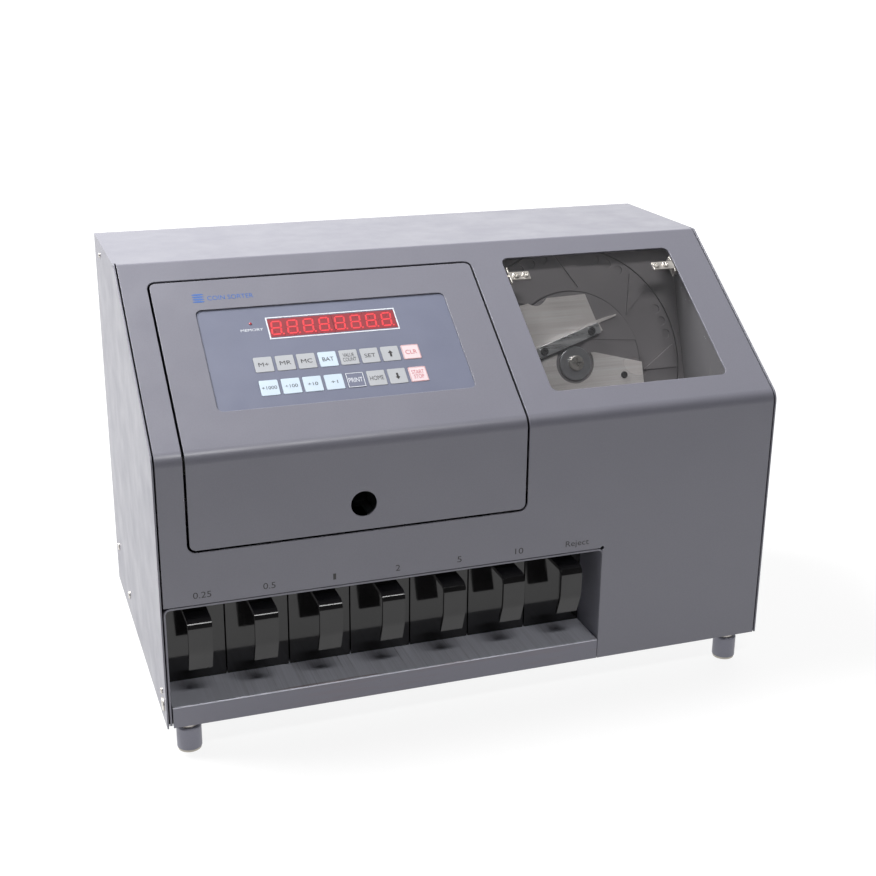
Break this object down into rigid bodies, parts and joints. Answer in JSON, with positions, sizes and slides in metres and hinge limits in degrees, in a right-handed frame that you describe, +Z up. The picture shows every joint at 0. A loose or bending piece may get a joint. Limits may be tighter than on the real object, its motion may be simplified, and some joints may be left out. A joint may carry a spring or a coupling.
{
  "type": "coin sorting machine",
  "caption": "Tabletop coin sorting machine: sloped grey case with hinged keypad door, clear hopper lid over a tilted coin disc, and a row of pull-out coin cups on a shelf.",
  "frame": {"origin": "on the table, at the centre of the bounding box's underside", "axes": "+X towards the operator's right along the machine's width, +Y to the back, +Z up"},
  "size_m": [0.5104, 0.284, 0.348],
  "materials": {
    "case_paint": "satin fine texture",
    "zinc_sheet": "zinc plated, satin",
    "brushed_shelf": "brushed, satin",
    "hopper_paint": "satin",
    "dark_plastic": "satin, fine speckle",
    "stainless": "brushed",
    "aluminium_rail": "satin",
    "hub_aluminium": "turned satin",
    "black_screws": "black oxide",
    "black_plastic": "satin",
    "motor_steel": "satin",
    "circuit_board": "solder mask",
    "bright_steel": "nickel plated",
    "foot_plastic": "satin",
    "foot_rubber": "matt",
    "clear_acrylic": "polished",
    "membrane_film": "fine satin film",
    "display_red": "translucent red",
    "module_plastic": "matt",
    "key_grey": "satin film",
    "key_blue": "satin film",
    "key_pink": "satin film",
    "key_dark": "satin film",
    "cup_black": "glossy moulding"
  },
  "bodies": {
    "root": {"cover_sheet": "case_paint", "side_panel_left": "case_paint", "side_panel_right": "case_paint", "base_plate": "zinc_sheet", "back_panel": "case_paint", "drawer_shelf": "brushed_shelf", "recess_surround": "case_paint", "hopper_bowl": "dark_plastic", "hopper_walls": "hopper_paint", "centre_plate": "dark_plastic", "track_plate": "stainless", "lower_plate": "stainless", "guide_rail": "aluminium_rail", "plate_screws": "black_screws", "coin_sensor": "black_plastic", "chute_block": "zinc_sheet", "disc_motor": "motor_steel", "main_board": "circuit_board", "power_supply": "zinc_sheet", "power_inlet": "black_plastic", "case_fasteners": "bright_steel", "feet": "foot_plastic", "foot_pads": "foot_rubber", "lid_pivots": "bright_steel", "hinge_arms": "zinc_sheet"},
    "disc": {"coin_disc": "dark_plastic", "hub_washer": "hub_aluminium", "hub_screw": "bright_steel"},
    "lid": {"lid_window": "clear_acrylic", "lid_brackets": "bright_steel", "lid_screws": "bright_steel"},
    "door": {"door_panel": "case_paint", "keypad_overlay": "membrane_film", "display_filter": "display_red", "digit_modules": "module_plastic", "display_board": "circuit_board"},
    "switch": {"power_switch": "black_plastic"},
    "key_store": {"key_store": "key_grey"},
    "key_recall": {"key_recall": "key_grey"},
    "key_total": {"key_total": "key_grey"},
    "key_batch": {"key_batch": "key_blue"},
    "key_value": {"key_value": "key_grey"},
    "key_set": {"key_set": "key_grey"},
    "key_up": {"key_up": "key_grey"},
    "key_clear": {"key_clear": "key_pink"},
    "key_plus_1000": {"key_plus_1000": "key_blue"},
    "key_plus_100": {"key_plus_100": "key_blue"},
    "key_plus_10": {"key_plus_10": "key_blue"},
    "key_plus_1": {"key_plus_1": "key_blue"},
    "key_print": {"key_print": "key_dark"},
    "key_home": {"key_home": "key_grey"},
    "key_down": {"key_down": "key_grey"},
    "key_start_stop": {"key_start_stop": "key_pink"},
    "coin_cup_1": {"coin_cup_1": "cup_black"},
    "coin_cup_2": {"coin_cup_2": "cup_black"},
    "coin_cup_3": {"coin_cup_3": "cup_black"},
    "coin_cup_4": {"coin_cup_4": "cup_black"},
    "coin_cup_5": {"coin_cup_5": "cup_black"},
    "coin_cup_6": {"coin_cup_6": "cup_black"},
    "reject_cup": {"reject_cup": "cup_black"}
  },
  "joints": [
    {"name": "disc_spin", "type": "hinge", "parent": "root", "child": "disc", "pos_m": [0.1261, -0.0225, 0.2439], "axis": [0, -0.9397, 0.342], "continuous": true},
    {"name": "lid_hinge", "type": "hinge", "parent": "root", "child": "lid", "pos_m": [0.14, -0.01895, 0.32319], "axis": [-1, 0, 0], "range_deg": [0, 100]},
    {"name": "door_hinge", "type": "hinge", "parent": "root", "child": "door", "pos_m": [-0.098, -0.01118, 0.32622], "axis": [-1, 0, 0], "range_deg": [0, 85]},
    {"name": "switch_rock", "type": "hinge", "parent": "root", "child": "switch", "pos_m": [-0.15, 0.1355, 0.066], "axis": [1, 0, 0], "range_deg": [0, 16]},
    {"name": "store_press", "type": "slide", "parent": "door", "child": "key_store", "axis": [0, 0.5767, -0.817], "range_m": [0, 0.0004], "stiffness_N_per_m": 800},
    {"name": "recall_press", "type": "slide", "parent": "door", "child": "key_recall", "axis": [0, 0.5767, -0.817], "range_m": [0, 0.0004], "stiffness_N_per_m": 800},
    {"name": "total_press", "type": "slide", "parent": "door", "child": "key_total", "axis": [0, 0.5767, -0.817], "range_m": [0, 0.0004], "stiffness_N_per_m": 800},
    {"name": "batch_press", "type": "slide", "parent": "door", "child": "key_batch", "axis": [0, 0.5767, -0.817], "range_m": [0, 0.0004], "stiffness_N_per_m": 800},
    {"name": "value_press", "type": "slide", "parent": "door", "child": "key_value", "axis": [0, 0.5767, -0.817], "range_m": [0, 0.0004], "stiffness_N_per_m": 800},
    {"name": "set_press", "type": "slide", "parent": "door", "child": "key_set", "axis": [0, 0.5767, -0.817], "range_m": [0, 0.0004], "stiffness_N_per_m": 800},
    {"name": "up_press", "type": "slide", "parent": "door", "child": "key_up", "axis": [0, 0.5767, -0.817], "range_m": [0, 0.0004], "stiffness_N_per_m": 800},
    {"name": "clear_press", "type": "slide", "parent": "door", "child": "key_clear", "axis": [0, 0.5767, -0.817], "range_m": [0, 0.0004], "stiffness_N_per_m": 800},
    {"name": "plus_1000_press", "type": "slide", "parent": "door", "child": "key_plus_1000", "axis": [0, 0.5767, -0.817], "range_m": [0, 0.0004], "stiffness_N_per_m": 800},
    {"name": "plus_100_press", "type": "slide", "parent": "door", "child": "key_plus_100", "axis": [0, 0.5767, -0.817], "range_m": [0, 0.0004], "stiffness_N_per_m": 800},
    {"name": "plus_10_press", "type": "slide", "parent": "door", "child": "key_plus_10", "axis": [0, 0.5767, -0.817], "range_m": [0, 0.0004], "stiffness_N_per_m": 800},
    {"name": "plus_1_press", "type": "slide", "parent": "door", "child": "key_plus_1", "axis": [0, 0.5767, -0.817], "range_m": [0, 0.0004], "stiffness_N_per_m": 800},
    {"name": "print_press", "type": "slide", "parent": "door", "child": "key_print", "axis": [0, 0.5767, -0.817], "range_m": [0, 0.0004], "stiffness_N_per_m": 800},
    {"name": "home_press", "type": "slide", "parent": "door", "child": "key_home", "axis": [0, 0.5767, -0.817], "range_m": [0, 0.0004], "stiffness_N_per_m": 800},
    {"name": "down_press", "type": "slide", "parent": "door", "child": "key_down", "axis": [0, 0.5767, -0.817], "range_m": [0, 0.0004], "stiffness_N_per_m": 800},
    {"name": "start_stop_press", "type": "slide", "parent": "door", "child": "key_start_stop", "axis": [0, 0.5767, -0.817], "range_m": [0, 0.0004], "stiffness_N_per_m": 800},
    {"name": "coin_cup_1_slide", "type": "slide", "parent": "root", "child": "coin_cup_1", "axis": [0, -1, 0], "range_m": [0, 0.105]},
    {"name": "coin_cup_2_slide", "type": "slide", "parent": "root", "child": "coin_cup_2", "axis": [0, -1, 0], "range_m": [0, 0.105]},
    {"name": "coin_cup_3_slide", "type": "slide", "parent": "root", "child": "coin_cup_3", "axis": [0, -1, 0], "range_m": [0, 0.105]},
    {"name": "coin_cup_4_slide", "type": "slide", "parent": "root", "child": "coin_cup_4", "axis": [0, -1, 0], "range_m": [0, 0.105]},
    {"name": "coin_cup_5_slide", "type": "slide", "parent": "root", "child": "coin_cup_5", "axis": [0, -1, 0], "range_m": [0, 0.105]},
    {"name": "coin_cup_6_slide", "type": "slide", "parent": "root", "child": "coin_cup_6", "axis": [0, -1, 0], "range_m": [0, 0.105]},
    {"name": "reject_cup_slide", "type": "slide", "parent": "root", "child": "reject_cup", "axis": [0, -1, 0], "range_m": [0, 0.105]}
  ]
}
